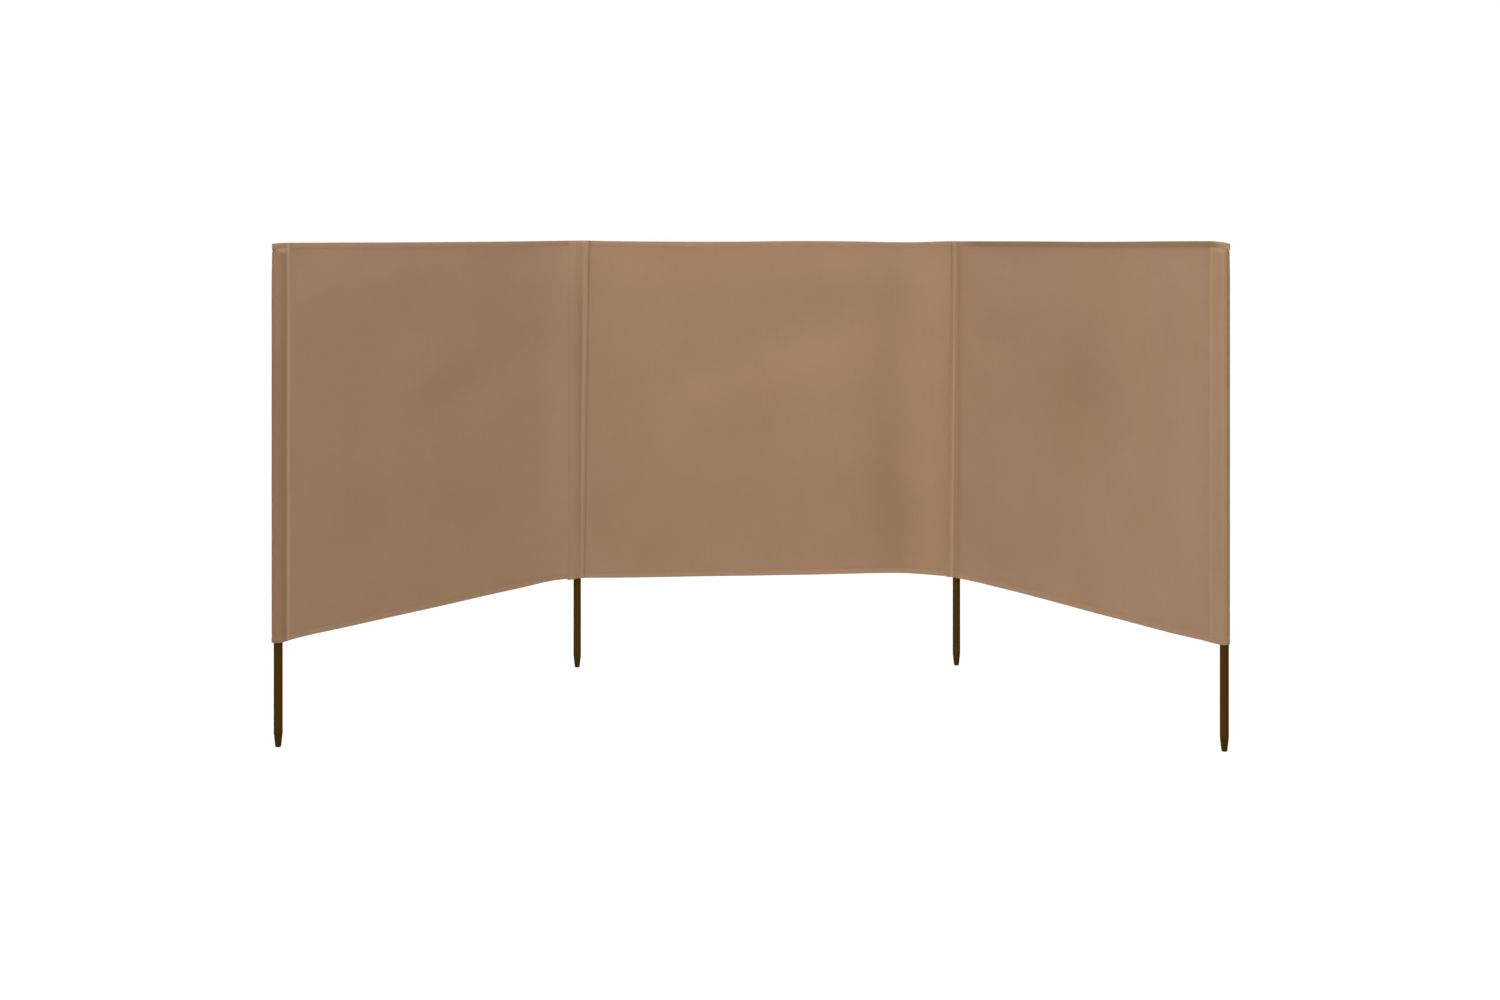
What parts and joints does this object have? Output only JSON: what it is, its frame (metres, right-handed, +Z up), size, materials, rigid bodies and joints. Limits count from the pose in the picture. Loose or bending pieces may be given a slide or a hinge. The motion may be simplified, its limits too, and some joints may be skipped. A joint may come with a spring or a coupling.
{
  "type": "fabric windbreak",
  "caption": "Folding fabric windbreak: bays of taut cloth sleeved on ground poles with tapered tips, with side bays that swing about the middle poles.",
  "frame": {"origin": "centre of the flat end of the left middle pole's tip", "axes": "+X along the middle bay to the right middle pole, +Y to the back, away from the side that the side bays close in, +Z up along the poles"},
  "size_m": [2.8163, 1.2021, 1.49],
  "materials": {
    "cloth": "woven, matt",
    "hem": "woven, folded and stitched",
    "pole": "powder coat, matt",
    "tip": "moulded, matt"
  },
  "bodies": {
    "middle_bay": {"left_middle_pole": "pole", "right_middle_pole": "pole", "left_middle_tip": "tip", "right_middle_tip": "tip", "left_middle_sleeve": "cloth", "right_middle_sleeve": "cloth", "left_middle_sleeve_top": "hem", "right_middle_sleeve_top": "hem", "middle_panel": "cloth", "middle_top_hem": "hem", "middle_bottom_hem": "hem"},
    "left_wing": {"left_end_pole": "pole", "left_end_tip": "tip", "left_end_sleeve": "cloth", "left_end_sleeve_top": "hem", "left_panel": "cloth", "left_top_hem": "hem", "left_bottom_hem": "hem"},
    "right_wing": {"right_end_pole": "pole", "right_end_tip": "tip", "right_end_sleeve": "cloth", "right_end_sleeve_top": "hem", "right_panel": "cloth", "right_top_hem": "hem", "right_bottom_hem": "hem"}
  },
  "joints": [
    {"name": "left_wing_swing", "type": "hinge", "parent": "middle_bay", "child": "left_wing", "pos_m": [0, 0, 0], "axis": [0, 0, 1], "range_deg": [-142.2, 112.8]},
    {"name": "right_wing_swing", "type": "hinge", "parent": "middle_bay", "child": "right_wing", "pos_m": [1.33, 0, 0], "axis": [0, 0, 1], "range_deg": [-28.6, 226.4]}
  ]
}
